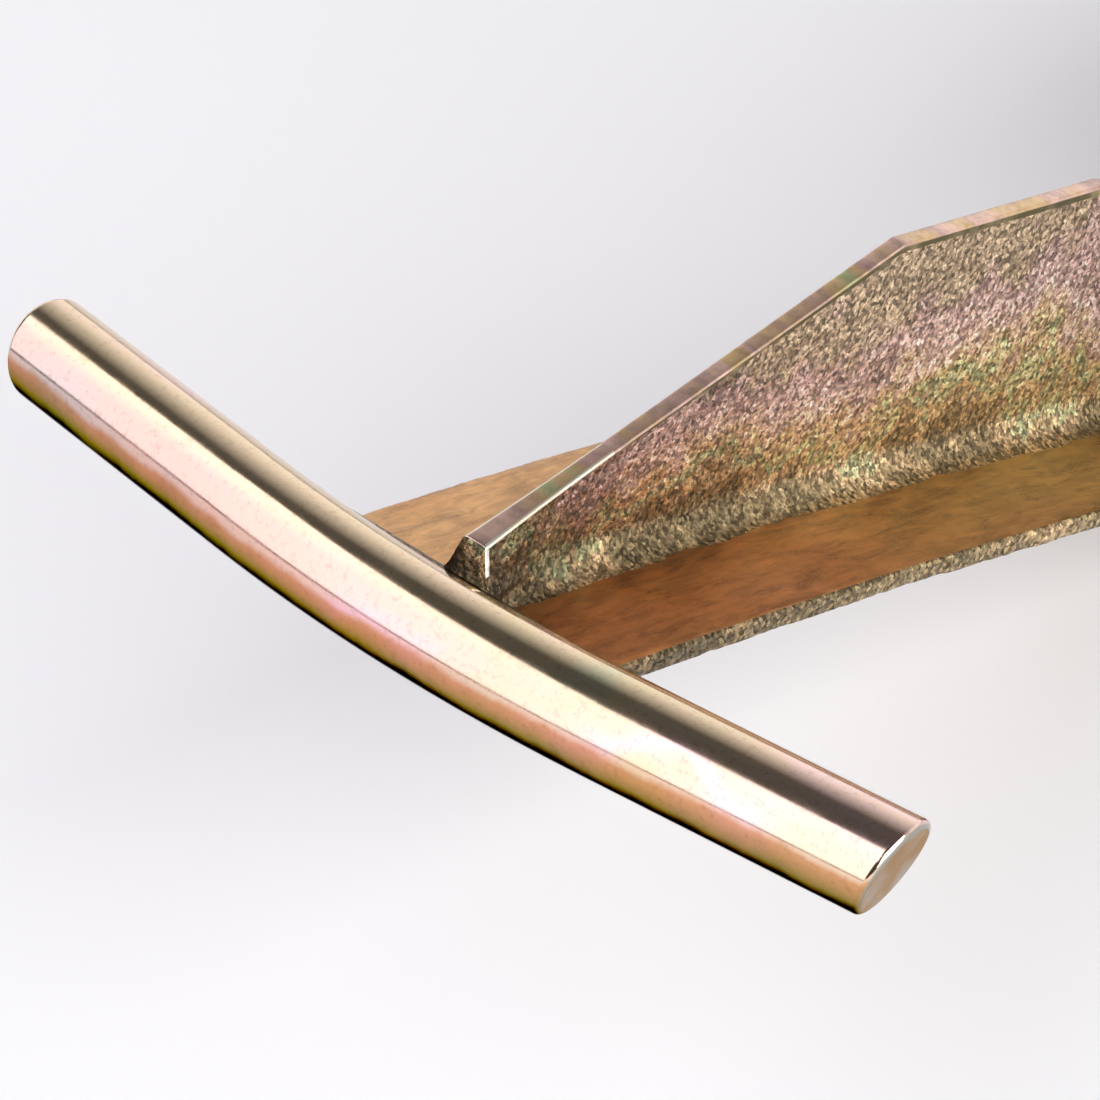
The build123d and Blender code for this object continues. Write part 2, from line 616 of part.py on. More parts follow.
with BuildPart() as cap_lever:
    with BuildSketch(BED_SIDE):
        with Locations((CAM_AT, CAM_HEIGHT)):
            Circle(CAM_RADIUS)
        with BuildLine():
            root_top = (CAM_AT, CAM_HEIGHT + 3.6)
            root_under = (CAM_AT + 1, CAM_HEIGHT - 0.6)
            curl_from = (CAM_AT + 10, CAM_HEIGHT - 0.6)
            tip_under = (CAM_AT + 27, CAM_HEIGHT + 4.0)
            tip_top = (CAM_AT + 26, CAM_HEIGHT + 6.2)
            Polyline(root_top, root_under, curl_from)
            ThreePointArc(curl_from, (CAM_AT + 19, CAM_HEIGHT + 0.6), tip_under)
            Line(tip_under, tip_top)
            ThreePointArc(tip_top, (CAM_AT + 14, CAM_HEIGHT + 3.0), root_top)
        make_face()
    extrude(amount=LEVER_HALF, both=True)
    with BuildSketch(BED_SIDE):
        with Locations((CAM_AT, CAM_HEIGHT)):
            Circle(PIN_RADIUS)
    extrude(amount=LEVER_HALF + 1, both=True, mode=Mode.SUBTRACT)
finish(cap_lever, "cap_lever")

with BuildPart() as cap_lever_pin:
    with BuildSketch(BED_SIDE):
        with Locations((CAM_AT, CAM_HEIGHT)):
            Circle(PIN_RADIUS)
    extrude(amount=EAR_OUTER + 0.3, both=True)
    chamfer(edges().filter_by(GeomType.CIRCLE), 0.3)
finish(cap_lever_pin, "cap_lever_pin")

# Front knob on a stud, with its ring and nut
RING_HEIGHT = 3.0
KNOB_TOP = 53.0
NUT_SEAT = 49.5
RING_RADIUS = 15.0
KNOB_AXIS = Plane(origin=(0, KNOB_Y, 0), x_dir=(1, 0, 0), z_dir=(0, -1, 0))
KNOB_SPIN = Axis((0, KNOB_Y, 0), (0, 0, 1))
ring_top = BASE_TOP + RING_HEIGHT
with BuildPart() as knob_ring:
    with BuildSketch(KNOB_AXIS):
        with BuildLine():
            Polyline(
                (STUD_RADIUS, BASE_TOP),
                (RING_RADIUS, BASE_TOP),
                (RING_RADIUS, ring_top - 1),
                (RING_RADIUS - 1, ring_top),
                (STUD_RADIUS, ring_top),
                close=True,
            )
        make_face()
    revolve(axis=KNOB_SPIN)
finish(knob_ring, "knob_ring")

KNOB_FOOT_RADIUS = 13.4
NUT_RADIUS = 6.0
NUT_RECESS = NUT_RADIUS + 0.2
with BuildPart() as front_knob:
    with BuildSketch(KNOB_AXIS):
        with BuildLine():
            Line((0, ring_top), (KNOB_FOOT_RADIUS, ring_top))
            Line((KNOB_FOOT_RADIUS, ring_top), (KNOB_FOOT_RADIUS, ring_top + 2))
            ThreePointArc((KNOB_FOOT_RADIUS, ring_top + 2), (9.2, 24), (12, 33))
            ThreePointArc((12, 33), (16.5, 42.5), (9, KNOB_TOP - 1))
            ThreePointArc((9, KNOB_TOP - 1), (5, KNOB_TOP - 0.1), (0, KNOB_TOP))
            Line((0, KNOB_TOP), (0, ring_top))
        make_face()
    revolve(axis=KNOB_SPIN)
    with Locations(Plane.XY.offset(KNOB_TOP)):
        with Locations((0, KNOB_Y)):
            CounterBoreHole(STUD_RADIUS, NUT_RECESS, KNOB_TOP - NUT_SEAT, KNOB_TOP)
finish(front_knob, "front_knob")

STUD_IN_NUT = 3.0
with BuildPart() as knob_stud:
    with BuildSketch(Plane.XY.offset(SOLE_THICKNESS - SOLE_THREAD)):
        with Locations((0, KNOB_Y)):
            Circle(STUD_RADIUS)
    extrude(amount=NUT_SEAT + STUD_IN_NUT - SOLE_THICKNESS + SOLE_THREAD)
finish(knob_stud, "knob_stud")

NUT_HEIGHT = 5.0
NUT_SLOT_DEPTH = 1.4
nut_top = NUT_SEAT + NUT_HEIGHT
with BuildPart() as knob_nut:
    with BuildSketch(KNOB_AXIS):
        with BuildLine():
            Polyline(
                (0, NUT_SEAT),
                (NUT_RADIUS, NUT_SEAT),
                (NUT_RADIUS, nut_top - 0.8),
                (NUT_RADIUS - 0.8, nut_top),
                (0, nut_top),
                close=True,
            )
        make_face()
    revolve(axis=KNOB_SPIN)
    with BuildSketch(Plane.XY.offset(NUT_SEAT)):
        with Locations((0, KNOB_Y)):
            Circle(STUD_RADIUS)
    extrude(amount=STUD_IN_NUT, mode=Mode.SUBTRACT)
    with BuildSketch(Plane.XY.offset(nut_top)):
        with Locations((0, KNOB_Y)):
            Rectangle(9, 1.4, rotation=20)
    extrude(amount=-NUT_SLOT_DEPTH, mode=Mode.SUBTRACT)
finish(knob_nut, "knob_nut")
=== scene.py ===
from math import cos, pi, radians, sin, sqrt

import bmesh
import bpy
from mathutils import Matrix, Vector, noise


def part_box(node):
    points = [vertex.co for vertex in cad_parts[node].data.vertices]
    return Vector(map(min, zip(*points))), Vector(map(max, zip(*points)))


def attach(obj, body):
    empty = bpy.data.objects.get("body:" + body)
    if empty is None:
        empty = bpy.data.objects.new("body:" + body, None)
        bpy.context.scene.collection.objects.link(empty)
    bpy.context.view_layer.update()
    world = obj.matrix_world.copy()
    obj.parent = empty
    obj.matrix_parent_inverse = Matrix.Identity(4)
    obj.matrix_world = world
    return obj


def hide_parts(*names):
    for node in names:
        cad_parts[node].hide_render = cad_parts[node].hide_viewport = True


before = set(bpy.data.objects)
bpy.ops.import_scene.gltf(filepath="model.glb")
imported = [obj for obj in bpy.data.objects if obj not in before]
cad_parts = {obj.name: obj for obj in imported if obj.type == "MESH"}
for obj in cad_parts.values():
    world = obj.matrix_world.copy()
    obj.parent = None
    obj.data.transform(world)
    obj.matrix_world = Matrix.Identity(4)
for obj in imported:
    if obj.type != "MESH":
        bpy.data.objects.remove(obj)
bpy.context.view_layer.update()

# Looks of the forged hand plane. Metres, in the frame of the CAD model:
# the origin is under the middle on the sole's face, +Y points to the toe and +Z up.

MM = 0.001

# The arm's own frame, as the design has it: its origin is the middle of the cross bar
SLOPE = radians(18.8)
BAR_RADIUS = 6.0
BAR_HEIGHT = 0.070
BAR_MIDDLE = Vector((0.0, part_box("cross_bar")[0][1] + BAR_RADIUS * MM, BAR_HEIGHT))
ALONG = Vector((0.0, cos(SLOPE), -sin(SLOPE)))
ABOVE = Vector((0.0, sin(SLOPE), cos(SLOPE)))
ACROSS = Vector((1.0, 0.0, 0.0))


def arm(x, y, z):
    """Point in metres from the arm's own millimetres: across, along from the bar, and above."""
    return BAR_MIDDLE + (ACROSS * x + ALONG * y + ABOVE * z) * MM


# ---------------------------------------------------------------- camera
# Where it looks from, in metres and as angles, and how far its aim is off the middle of the bar
VIEW_AZIMUTH = radians(42.58)
VIEW_ELEVATION = radians(40.8)
VIEW_DISTANCE = 0.672
VIEW_ANGLE = radians(9.895)
AIM_RIGHT = 0.01433
AIM_UP = 0.00712


def make_camera():
    """Camera that looks down on the cross bar and the near end of the arm."""
    back = Vector((
        sin(VIEW_AZIMUTH) * cos(VIEW_ELEVATION),
        -cos(VIEW_AZIMUTH) * cos(VIEW_ELEVATION),
        sin(VIEW_ELEVATION),
    ))
    right = Vector((cos(VIEW_AZIMUTH), sin(VIEW_AZIMUTH), 0.0))
    up = back.cross(right)
    aim = BAR_MIDDLE + right * AIM_RIGHT + up * AIM_UP
    data = bpy.data.cameras.new("camera")
    data.angle = VIEW_ANGLE
    data.clip_start = 0.05
    data.clip_end = 20.0
    camera = bpy.data.objects.new("camera", data)
    turn = Matrix((right, up, back)).transposed().to_4x4()
    camera.matrix_world = Matrix.Translation(aim + back * VIEW_DISTANCE) @ turn
    bpy.context.scene.collection.objects.link(camera)
    bpy.context.scene.camera = camera


# ---------------------------------------------------------------- materials
def set_stops(points, stops):
    """Fill a colour ramp with stops that go up from 0 to 1."""
    points.remove(points[1])
    for index, (at, level) in enumerate(stops):
        point = points.new(at) if index else points[0]
        point.position = at
        colour = level if isinstance(level, tuple) else (level, level, level)
        point.color = (*colour, 1.0)


class Surface:
    """Small builder of a node material around one Principled shader."""

    def __init__(self, name, metallic=1.0, roughness=0.3, **sockets):
        self.material = bpy.data.materials.new(name)
        self.material.use_nodes = True
        self.nodes = self.material.node_tree.nodes
        self.links = self.material.node_tree.links
        self.shader = self.nodes["Principled BSDF"]
        self.shader.inputs["Metallic"].default_value = metallic
        self.shader.inputs["Roughness"].default_value = roughness
        for socket, value in sockets.items():
            self.shader.inputs[socket.replace("_", " ")].default_value = value
        place = self.nodes.new("ShaderNodeTexCoord")
        self.place = place.outputs["Object"]

    def stretched(self, scale):
        """Object coordinates, scaled by axis, for streaks and grain."""
        mapping = self.nodes.new("ShaderNodeMapping")
        mapping.inputs["Scale"].default_value = scale
        self.links.new(self.place, mapping.inputs["Vector"])
        return mapping.outputs["Vector"]

    def noise(self, scale, detail, roughness=0.55, distortion=0.0, vector=None):
        """Fractal noise of a scale per metre, in object coordinates unless others are given."""
        node = self.nodes.new("ShaderNodeTexNoise")
        node.inputs["Scale"].default_value = scale
        node.inputs["Detail"].default_value = detail
        node.inputs["Roughness"].default_value = roughness
        node.inputs["Distortion"].default_value = distortion
        self.links.new(vector or self.place, node.inputs["Vector"])
        return node.outputs["Fac"]

    def ramp(self, value, stops):
        """Colour ramp; a stop is a place from 0 to 1 and a colour or a grey level."""
        node = self.nodes.new("ShaderNodeValToRGB")
        set_stops(node.color_ramp.elements, stops)
        self.links.new(value, node.inputs["Fac"])
        return node.outputs["Color"]

    def mix(self, a, b, factor, blend="MIX"):
        """Mix two colours; each input is a socket, a colour or a number."""
        node = self.nodes.new("ShaderNodeMix")
        node.data_type = "RGBA"
        node.blend_type = blend
        for socket, value in ((node.inputs[6], a), (node.inputs[7], b), (node.inputs[0], factor)):
            if isinstance(value, bpy.types.NodeSocket):
                self.links.new(value, socket)
            elif isinstance(value, tuple):
                socket.default_value = (*value, 1.0)
            else:
                socket.default_value = value
        return node.outputs[2]

    def split(self, vector):
        """The X, Y and Z of a vector."""
        node = self.nodes.new("ShaderNodeSeparateXYZ")
        self.links.new(vector, node.inputs["Vector"])
        return node.outputs

    def maths(self, operation, a, b=0.0, c=0.0):
        """One step of arithmetic; each input is a socket or a number."""
        node = self.nodes.new("ShaderNodeMath")
        node.operation = operation
        for socket, value in zip(node.inputs, (a, b, c)):
            if isinstance(value, bpy.types.NodeSocket):
                self.links.new(value, socket)
            else:
                socket.default_value = value
        return node.outputs["Value"]

    def arm_place(self):
        """Coordinates along the arm's own axes, in metres from the middle of the bar."""
        mapping = self.nodes.new("ShaderNodeMapping")
        mapping.inputs["Rotation"].default_value = (SLOPE, 0.0, 0.0)
        mapping.inputs["Location"].default_value = -(Matrix.Rotation(SLOPE, 3, "X") @ BAR_MIDDLE)
        self.links.new(self.place, mapping.inputs["Vector"])
        return mapping.outputs["Vector"]

    def grains(self, scale):
        """A random level for each of many packed grains."""
        node = self.nodes.new("ShaderNodeTexVoronoi")
        node.inputs["Scale"].default_value = scale
        self.links.new(self.place, node.inputs["Vector"])
        level = self.nodes.new("ShaderNodeSeparateColor")
        self.links.new(node.outputs["Color"], level.inputs["Color"])
        return level.outputs["Red"]

    def facing(self, direction):
        """How far the surface faces a fixed direction of the object, from -1 to 1."""
        geometry = self.nodes.new("ShaderNodeNewGeometry")
        node = self.nodes.new("ShaderNodeVectorMath")
        node.operation = "DOT_PRODUCT"
        node.inputs[1].default_value = direction
        self.links.new(geometry.outputs["Normal"], node.inputs[0])
        return node.outputs["Value"]

    def bump(self, height, strength, distance):
        """Fine relief on the shader's normal."""
        node = self.nodes.new("ShaderNodeBump")
        node.inputs["Strength"].default_value = strength
        node.inputs["Distance"].default_value = distance
        self.links.new(height, node.inputs["Height"])
        self.links.new(node.outputs["Normal"], self.shader.inputs["Normal"])

    def colour(self, socket):
        """Give the shader its colour."""
        self.links.new(socket, self.shader.inputs["Base Color"])

    def rough(self, socket):
        """Give the shader its roughness."""
        self.links.new(socket, self.shader.inputs["Roughness"])


GOLD = (0.74, 0.50, 0.27)
OLIVE = (0.58, 0.46, 0.28)
MAUVE = (0.58, 0.38, 0.33)
PINK = (0.84, 0.56, 0.46)
GREEN = (0.52, 0.53, 0.28)
AMBER = (0.55, 0.26, 0.09)
TAN = (0.64, 0.35, 0.15)
WORN = (0.92, 0.86, 0.74)
UMBER = (0.14, 0.12, 0.06)
BROWN = (0.50, 0.37, 0.24)
STRAW = (0.60, 0.42, 0.16)
OCHRE = (0.64, 0.46, 0.17)
# Tint of the painted shade on the arm's plate near the bar
PAINTED_SHADE_TONE = (0.60, 0.40, 0.22)
# Pink of the painted highlight tint on the bar
HIGHLIGHT_PINK = (0.92, 0.72, 0.92)
SAWN_GREY = (0.34, 0.34, 0.30)

# How far up the rib the colour bands run, and how far along the arm the painted shade by the bar and the
# plate's yellowing run, in metres
RIB_TALL = 0.030
DARK_RUN = 0.060

# Grains per metre: the skin's pits, and the finer grit between them
PIT_SCALE = 1800.0
GRIT_SCALE = 3200.0


def forged_skin():
    """Coarse blasted skin of the rib's sides and the arm's edges.

    The chromate's colour runs in uneven bands up the rib, as the bath drained from it; the dark foot of
    the bands is painted shade in the root's corner. The skin is darkened towards the bar with painted
    shade, and its brightest grains carry painted glints."""
    s = Surface("forged_skin", 0.94, 0.36)
    height = s.maths("DIVIDE", s.split(s.arm_place())["Z"], RIB_TALL)
    drift = s.maths("SUBTRACT", s.noise(45.0, 4.0, 0.6, 0.4), 0.5)
    blotch = s.maths("SUBTRACT", s.noise(190.0, 3.0, 0.6), 0.5)
    wavy = s.maths("MULTIPLY_ADD", drift, 1.2, height)
    band = s.maths("ADD", wavy, s.maths("MULTIPLY", blotch, 0.6))
    # The bands are the chromate's own colours, but the dark stop at the foot is painted shade in the
    # corner of the rib's root.
    bands = [
        (0.0, (0.34, 0.25, 0.13)), (0.14, GOLD), (0.20, GREEN), (0.28, GOLD),
        (0.46, PINK), (0.62, MAUVE), (0.78, BROWN), (1.0, BROWN),
    ]
    wash = s.ramp(band, bands)
    # Painted shade: darker towards the bar end of the arm, with a cloud of noise through it.
    along = s.maths("DIVIDE", s.split(s.arm_place())["Y"], DARK_RUN)
    cloud = s.maths("MULTIPLY_ADD", s.noise(80.0, 5.0, 0.65), 1.2, -0.45)
    shades = [(0.12, 0.20), (0.42, 0.48), (0.80, 0.90), (1.0, 1.0)]
    shade = s.ramp(s.maths("MULTIPLY_ADD", along, 0.8, cloud), shades)
    # Grain brightness: the grains' own random tone, and painted glints where the levels go above 1.
    level, fine_level = s.grains(PIT_SCALE), s.grains(GRIT_SCALE)
    speck = s.ramp(level, [(0.05, 0.30), (0.5, 0.85), (0.95, 1.75)])
    grit_and_glint = s.ramp(fine_level, [(0.05, 0.45), (0.5, 0.95), (0.95, 1.5)])
    toned = s.mix(s.mix(wash, shade, 1.0, "MULTIPLY"), speck, 0.9, "MULTIPLY")
    s.colour(s.mix(toned, grit_and_glint, 0.85, "MULTIPLY"))
    s.rough(s.ramp(level, [(0.0, 0.46), (1.0, 0.26)]))
    s.bump(s.maths("ADD", s.noise(2200.0, 2.0, 0.6), s.maths("MULTIPLY", level, 0.4)), 0.40, 0.0003)
    return s.material


def smooth_plate():
    """Rolled face of the arm: satin, with fine marks along it, and painted shade on its +X half near the
    bar.
    """
    s = Surface("smooth_plate", 0.97, 0.30)
    tones = [(0.30, AMBER), (0.48, TAN), (0.64, AMBER), (0.76, STRAW)]
    wash = s.ramp(s.noise(26.0, 3.0, 0.5, 0.6), tones)
    cloud = s.ramp(s.noise(210.0, 5.0, 0.65), [(0.36, 0.84), (0.62, 1.06)])
    streak = s.noise(700.0, 5.0, 0.7, 0.6, s.stretched((1.0, 0.16, 0.4)))
    fleck = s.ramp(streak, [(0.38, 0.58), (0.60, 1.18)])
    place = s.split(s.arm_place())
    along = s.maths("DIVIDE", place["Y"], DARK_RUN)
    yellower = s.ramp(s.maths("MULTIPLY", along, 0.5), [(0.40, 0.0), (0.85, 0.85)])
    toned = s.mix(wash, OCHRE, yellower)
    marked = s.mix(s.mix(toned, cloud, 0.9, "MULTIPLY"), fleck, 0.8, "MULTIPLY")
    # Painted shade: the +X half of the plate is darkened with a brown tint towards the bar.
    right_half = s.ramp(s.maths("MULTIPLY_ADD", place["X"], 60.0, 0.5), [(0.50, 0.0), (0.80, 1.0)])
    shade_and_stain = s.maths("MULTIPLY", right_half, s.ramp(along, [(0.10, 1.0), (0.95, 0.45)]))
    s.colour(s.mix(marked, PAINTED_SHADE_TONE, shade_and_stain, "MULTIPLY"))
    s.rough(s.ramp(streak, [(0.3, 0.24), (0.7, 0.38)]))
    s.bump(streak, 0.22, 0.00010)
    return s.material


def drawn_edge():
    """Smooth top edge of the rib: short stretches of pink, gold and green along it."""
    s = Surface("drawn_edge", 0.96, 0.27)
    stretches = s.noise(70.0, 4.0, 0.6, 0.3, s.stretched((0.2, 1.0, 0.2)))
    tones = [(0.30, GREEN), (0.40, GOLD), (0.48, MAUVE), (0.56, PINK), (0.64, GOLD), (0.74, OLIVE)]
    wash = s.ramp(stretches, tones)
    scuff = s.ramp(s.noise(600.0, 4.0, 0.65), [(0.34, 0.70), (0.56, 1.0)])
    s.colour(s.mix(wash, scuff, 0.8, "MULTIPLY"))
    s.bump(s.noise(500.0, 4.0, 0.6), 0.12, 0.0001)
    return s.material


def bar_metal():
    """Drawn and plated bar: glossy, with a play of pink and green, a painted pink tint on its highlight
    band, and a painted floor reflection and painted shade underneath.
    """
    s = Surface("bar_metal", 1.0, 0.12)
    hue = s.noise(30.0, 3.0, 0.5, 0.9, s.stretched((0.55, 1.7, 1.7)))
    tones = [
        (0.26, (0.60, 0.62, 0.44)), (0.40, (0.78, 0.62, 0.40)), (0.50, (0.82, 0.62, 0.44)),
        (0.58, (0.88, 0.62, 0.56)), (0.66, (0.80, 0.60, 0.36)), (0.78, (0.66, 0.62, 0.42)),
    ]
    wash = s.ramp(hue, tones)
    fleck = s.ramp(s.noise(1300.0, 3.0, 0.7), [(0.32, 0.78), (0.47, 1.0)])
    # Painted highlight tint: pink on the band that faces the key light, most at the bar's left end.
    left = s.ramp(s.maths("MULTIPLY_ADD", s.split(s.place)["X"], -8.0, 0.5), [(0.15, 0.15), (0.75, 1.0)])
    highlight_facing = s.ramp(s.facing((0.0, -0.85, 0.53)), [(0.80, 0.0), (0.93, 1.0)])
    highlight_tinted = s.mix(wash, HIGHLIGHT_PINK, s.maths("MULTIPLY", left, highlight_facing), "MULTIPLY")
    clean = s.mix(highlight_tinted, fleck, 0.75, "MULTIPLY")
    # Painted reflection and shade: the face turned down and towards -Y runs from white through the
    # floor's tan reflection to a dark shaded edge, and tints the specular too.
    under = s.maths("MULTIPLY_ADD", s.noise(120.0, 4.0, 0.6), 0.4, s.facing((0.0, -0.50, -0.87)))
    stops = [
        (0.34, (1.0, 1.0, 1.0)), (0.46, (0.82, 0.56, 0.38)), (0.66, (0.60, 0.44, 0.26)),
        (0.82, (0.38, 0.36, 0.18)), (1.00, (0.06, 0.05, 0.03)),
    ]
    reach = 1.25
    painted_underside = s.ramp(s.maths("DIVIDE", under, reach), [(at / reach, colour) for at, colour in stops])
    endwise = s.ramp(s.maths("ABSOLUTE", s.facing((1.0, 0.0, 0.0))), [(0.70, 0.0), (0.92, 1.0)])
    s.colour(s.mix(s.mix(clean, painted_underside, 1.0, "MULTIPLY"), SAWN_GREY, endwise))
    s.links.new(painted_underside, s.shader.inputs["Specular Tint"])
    scuff = s.noise(700.0, 4.0, 0.65, 0.0, s.stretched((0.3, 1.0, 1.0)))
    s.rough(s.ramp(scuff, [(0.3, 0.09), (0.7, 0.17)]))
    s.bump(scuff, 0.06, 0.00005)
    return s.material


def ground_metal(name, colour, roughness, grain_scale):
    """Ground or lapped steel with fine parallel marks."""
    s = Surface(name, 1.0, roughness)
    marks = s.noise(grain_scale, 3.0, 0.6, 0.0, s.stretched((0.08, 1.0, 1.0)))
    shade = s.ramp(marks, [(0.3, 0.82), (0.7, 1.08)])
    shade_and_stain = s.ramp(s.noise(60.0, 4.0, 0.6), [(0.35, 0.88), (0.6, 1.0)])
    s.colour(s.mix(s.mix(colour, shade, 0.8, "MULTIPLY"), shade_and_stain, 0.7, "MULTIPLY"))
    s.rough(s.ramp(marks, [(0.3, roughness - 0.06), (0.7, roughness + 0.08)]))
    s.bump(marks, 0.15, 0.00004)
    return s.material


def worn_metal(name, colour, roughness, patina, metallic=1.0):
    """Turned or plated fitting, a little darker where hands have left it."""
    s = Surface(name, metallic, roughness)
    cloud = s.noise(140.0, 5.0, 0.6, 0.3)
    s.colour(s.mix(patina, colour, s.ramp(cloud, [(0.32, 0.25), (0.55, 1.0)])))
    fine = s.noise(1500.0, 3.0, 0.6)
    s.rough(s.ramp(cloud, [(0.3, roughness + 0.12), (0.7, roughness - 0.04)]))
    s.bump(fine, 0.06, 0.00004)
    return s.material


def oiled_beech():
    """Turned beech with its grain up the knob and short dark flecks."""
    s = Surface("oiled_beech", 0.0, 0.38, Coat_Weight=0.25, Coat_Roughness=0.2)
    rings = s.nodes.new("ShaderNodeTexWave")
    rings.inputs["Scale"].default_value = 60.0
    rings.inputs["Distortion"].default_value = 5.0
    rings.inputs["Detail"].default_value = 3.0
    rings.inputs["Detail Scale"].default_value = 1.4
    s.links.new(s.stretched((1.0, 1.0, 0.16)), rings.inputs["Vector"])
    tones = [(0.1, (0.34, 0.15, 0.06)), (0.6, (0.50, 0.25, 0.10)), (0.95, (0.42, 0.20, 0.08))]
    base = s.ramp(rings.outputs["Fac"], tones)
    flecks = s.noise(900.0, 2.0, 0.6, 0.0, s.stretched((1.0, 1.0, 0.09)))
    s.colour(s.mix(base, s.ramp(flecks, [(0.30, 0.45), (0.42, 1.0)]), 0.8, "MULTIPLY"))
    s.rough(s.ramp(flecks, [(0.3, 0.5), (0.6, 0.34)]))
    s.bump(flecks, 0.15, 0.0001)
    return s.material


# ---------------------------------------------------------------- mesh helpers
def add_piece(name, verts, faces, materials):
    """A smooth-shaded piece of the arm, with its finishes in slots."""
    mesh = bpy.data.meshes.new(name)
    mesh.from_pydata(verts, [], faces)
    for material in materials:
        mesh.materials.append(material)
    mesh.polygons.foreach_set("use_smooth", [True] * len(mesh.polygons))
    mesh.update()
    piece = bpy.data.objects.new(name, mesh)
    bpy.context.scene.collection.objects.link(piece)
    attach(piece, "root")
    return piece


def ring_faces(rings, size):
    """Quads between neighbouring closed rings of equal size."""
    faces = []
    for i in range(rings - 1):
        for j in range(size):
            k = (j + 1) % size
            faces.append((i * size + j, i * size + k, (i + 1) * size + k, (i + 1) * size + j))
    return faces


def apply_modifiers(piece):
    """Bake a piece's modifiers into its mesh."""
    depsgraph = bpy.context.evaluated_depsgraph_get()
    done = bpy.data.meshes.new_from_object(piece.evaluated_get(depsgraph))
    piece.modifiers.clear()
    piece.data = done


# ---------------------------------------------------------------- forged arm
# The arm and its rib, in millimetres of the arm's own frame. The crown is the arc of the arm's top face
ARM_WIDTH = 37.6
ARM_THICKNESS = 2.4
CROWN_Y = 22.0
CROWN_Z = 0.4
CROWN_RADIUS = 1397.0
ARM_END = 163.0
RIB_HALF = 1.1
RIB_NOSE = 7.4
RIB_PEAK = 73.0
RIB_HEIGHT = 30.3
RIB_LEVEL_END = 112.0
RIB_ROOT = 4.0

# The base under the arm, in millimetres of the object's frame
SCREW_RISE = 5.0
BASE_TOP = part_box("sole_screws")[1][2] / MM - SCREW_RISE
TOE_TO_MOUTH = 58.0
MOUTH_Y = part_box("sole_plate")[1][1] / MM - TOE_TO_MOUTH
TAIL_KNEE = Vector((0.0, 21.0, -14.5))
TAIL_FOOT = Vector((0.0, MOUTH_Y - 68.5, BASE_TOP - 1.0))


def arm_top(y):
    """Height of the arm's crowned top face at a distance along it."""
    return CROWN_Z - CROWN_RADIUS + sqrt(CROWN_RADIUS**2 - (y - CROWN_Y) ** 2)


def side_view(point):
    """Arm millimetres, along and above, of a point given in metres."""
    offset = point - BAR_MIDDLE
    return offset.dot(ALONG) / MM, offset.dot(ABOVE) / MM


def rib_tail():
    """Arc of the rib's falling front end: its centre and radius in the side view, and where it ends."""
    start = arm(0.0, RIB_LEVEL_END, RIB_HEIGHT)
    a, b, c = [Vector(side_view(p)) for p in (start, start + TAIL_KNEE * MM, TAIL_FOOT * MM)]
    d = 2.0 * (a.x * (b.y - c.y) + b.x * (c.y - a.y) + c.x * (a.y - b.y))
    ux = (a.dot(a) * (b.y - c.y) + b.dot(b) * (c.y - a.y) + c.dot(c) * (a.y - b.y)) / d
    uy = (a.dot(a) * (c.x - b.x) + b.dot(b) * (a.x - c.x) + c.dot(c) * (b.x - a.x)) / d
    centre = Vector((ux, uy))
    return centre, (a - centre).length, c.x


TAIL_CENTRE, TAIL_RADIUS, TAIL_END = rib_tail()


def rib_top(y):
    """Height of the rib's top edge at a distance along the arm."""
    if y <= RIB_PEAK:
        return RIB_NOSE + (RIB_HEIGHT - RIB_NOSE) * (y - RIB_NOSE) / (RIB_PEAK - RIB_NOSE)
    if y <= RIB_LEVEL_END:
        return RIB_HEIGHT
    return TAIL_CENTRE.y + sqrt(max(TAIL_RADIUS**2 - (y - TAIL_CENTRE.x) ** 2, 0.0))


def floor_line(y):
    """Top of what the rib stands on: the arm's face, then the base's."""
    base = ((BASE_TOP * MM - BAR_MIDDLE.z) / MM + y * sin(SLOPE)) / cos(SLOPE)
    return max(arm_top(y), base)


# The rib's section: its rounded and slightly crowned top edge, and its foot, sunk in the arm's face
EDGE_ROUND = 0.35
EDGE_CROWN = 0.04
EDGE_FLAT = 0.35 * RIB_HALF
FOOT_REACH = 0.6
FOOT_SUNK = 0.35
ROOT_SUNK = 0.04
ROOT_STEPS = 14
SIDE_STEPS = 76
EDGE_STEPS = 5

# The coarse skin comes in over this many steps of the root, and below the smooth band at the top
ROOT_FADE = 3
BAND_DEEP = 0.45
BAND_FADE = 0.9


def rib_section(y):
    """Half section of the rib at y, from the foot of the root up to the middle of the top edge.

    Each entry is x, z and how coarse the skin is there."""
    low, high = floor_line(y), rib_top(y)
    points = [(RIB_HALF + RIB_ROOT + FOOT_REACH, low - FOOT_SUNK, 0.0)]
    for i in range(ROOT_STEPS + 1):
        turn = radians(90.0) * i / ROOT_STEPS
        x = RIB_HALF + RIB_ROOT * (1.0 - sin(turn))
        z = low - ROOT_SUNK + RIB_ROOT * (1.0 - cos(turn))
        points.append((x, z, min(1.0, i / ROOT_FADE)))
    start = low + RIB_ROOT
    for i in range(1, SIDE_STEPS + 1):
        share = i / SIDE_STEPS
        z = start + (high - EDGE_ROUND - start) * share
        coarse = (high - z - BAND_DEEP) / BAND_FADE
        points.append((RIB_HALF, z, max(0.0, min(1.0, coarse))))
    for i in range(1, EDGE_STEPS + 1):
        turn = radians(90.0) * i / EDGE_STEPS
        x = RIB_HALF - EDGE_ROUND * (1.0 - cos(turn))
        z = high - EDGE_ROUND * (1.0 - sin(turn))
        points.append((x, z, 0.0))
    points.append((EDGE_FLAT, high + EDGE_CROWN, 0.0))
    return points


# Relief as layers of noise: how fine each is, per millimetre, and how deep, in millimetres
SKIN_LAYERS = [(0.16, 0.14), (0.55, 0.10)]
SKIN_PITS = (1.35, 0.07)
PITS_SHIFT = Vector((7.1, 3.3, 9.7))
SKIN_SUNK = 0.05
SMOOTH_LAYERS = [(0.35, 0.03)]


